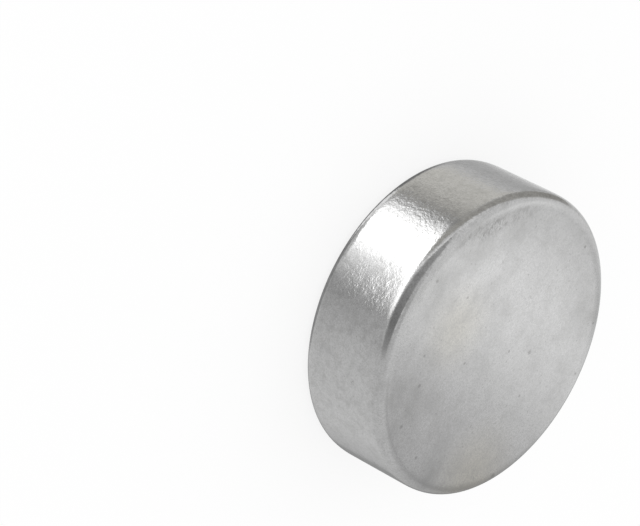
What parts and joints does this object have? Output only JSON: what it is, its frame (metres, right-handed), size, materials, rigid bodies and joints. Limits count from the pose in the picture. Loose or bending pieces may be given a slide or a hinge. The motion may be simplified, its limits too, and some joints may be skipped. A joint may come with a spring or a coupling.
{
  "type": "disc magnet",
  "caption": "Flat round nickel-plated disc magnet with rounded rims; either flat face grips steel or another magnet.",
  "frame": {"origin": "middle of the flat face that the disc lies on", "axes": "+Z along the disc's axis, from the lower flat face to the upper one; X and Y lie in the face and are alike"},
  "size_m": [0.015, 0.015, 0.005],
  "materials": {
    "nickel_plating": "satin nickel plating over a tumbled, sintered body"
  },
  "bodies": {
    "root": {"magnet": "nickel_plating"}
  },
  "joints": []
}
